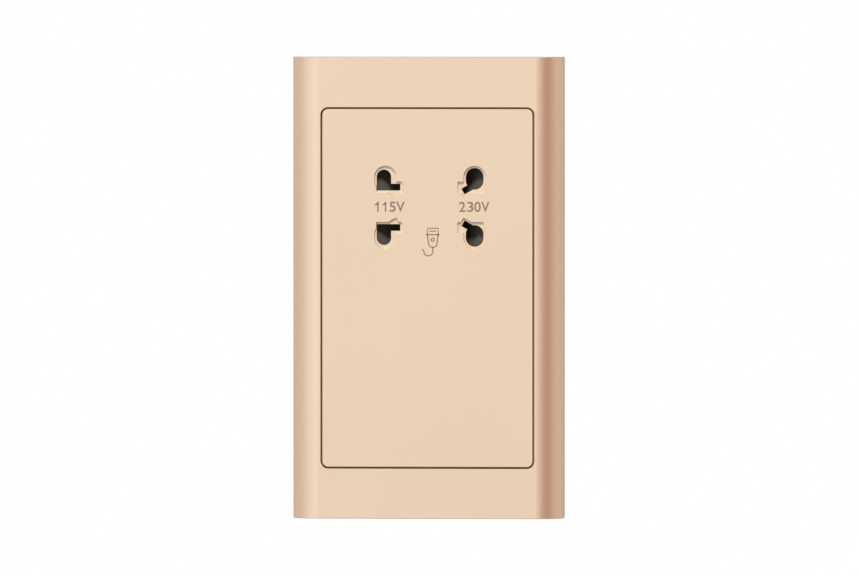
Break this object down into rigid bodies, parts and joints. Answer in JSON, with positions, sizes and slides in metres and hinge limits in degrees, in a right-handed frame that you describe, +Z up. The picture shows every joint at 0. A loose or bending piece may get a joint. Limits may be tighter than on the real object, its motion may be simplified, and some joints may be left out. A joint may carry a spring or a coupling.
{
  "type": "shaver socket",
  "caption": "Wall-mounted dual-voltage shaver socket: clip-on frame, panel with shuttered pin apertures, isolating transformer in a stepped rear housing.",
  "frame": {"origin": "on the wall plane, midway between the two fixing screws", "axes": "+Z up along the plate's long side, +X to the right seen from the front, +Y into the wall; the front faces -Y"},
  "size_m": [0.086, 0.046, 0.146],
  "materials": {
    "champagne_frame": "satin champagne lacquer",
    "champagne_panel": "satin champagne lacquer",
    "grey_moulding": "fine moulded grain",
    "black_moulding": "fine moulded grain",
    "shutter_plastic": "moulded satin",
    "contact_strip": "bright rolled strip",
    "spring_wire": "drawn wire",
    "lamination_steel": "oxide-coated sheet edges",
    "bobbin_nylon": "natural nylon",
    "winding_tape": "enamelled wire under clear tape",
    "terminal_brass": "machined",
    "plated_screw": "zinc plated",
    "brown_lead": "smooth insulation",
    "blue_lead": "smooth insulation",
    "yellow_lead": "smooth insulation",
    "red_lead": "smooth insulation",
    "white_lead": "smooth insulation"
  },
  "bodies": {
    "unit": {"front_frame": "champagne_frame", "centre_panel": "champagne_panel", "mounting_plate": "grey_moulding", "rear_housing": "black_moulding", "contact_carrier": "grey_moulding", "contact_115v_upper": "contact_strip", "contact_115v_lower": "contact_strip", "contact_230v_upper": "contact_strip", "contact_230v_lower": "contact_strip", "shutter_spring_115v": "spring_wire", "shutter_spring_230v": "spring_wire", "core_e_stack": "lamination_steel", "core_i_stack": "lamination_steel", "transformer_bobbin": "bobbin_nylon", "primary_winding": "winding_tape", "secondary_winding": "winding_tape", "thermal_cutout": "black_moulding", "terminal_live": "terminal_brass", "terminal_neutral": "terminal_brass", "terminal_earth": "terminal_brass", "terminal_screws": "plated_screw", "fixing_screws": "plated_screw", "housing_screws": "plated_screw", "transformer_screws": "plated_screw", "lead_live": "brown_lead", "lead_cutout": "brown_lead", "lead_neutral": "blue_lead", "lead_secondary_115v": "yellow_lead", "lead_secondary_230v": "red_lead", "lead_secondary_common": "white_lead", "lead_common_link": "white_lead"},
    "slide_115v": {"shutter_115v": "shutter_plastic"},
    "slide_230v": {"shutter_230v": "shutter_plastic"}
  },
  "joints": [
    {"name": "shutter_115v_slide", "type": "slide", "parent": "unit", "child": "slide_115v", "axis": [-1, 0, 0], "range_m": [0, 0.0077], "stiffness_N_per_m": 60, "springref_m": -0.004, "deforming": ["shutter_spring_115v"]},
    {"name": "shutter_230v_slide", "type": "slide", "parent": "unit", "child": "slide_230v", "axis": [1, 0, 0], "range_m": [0, 0.0077], "stiffness_N_per_m": 60, "springref_m": -0.004, "deforming": ["shutter_spring_230v"]}
  ]
}
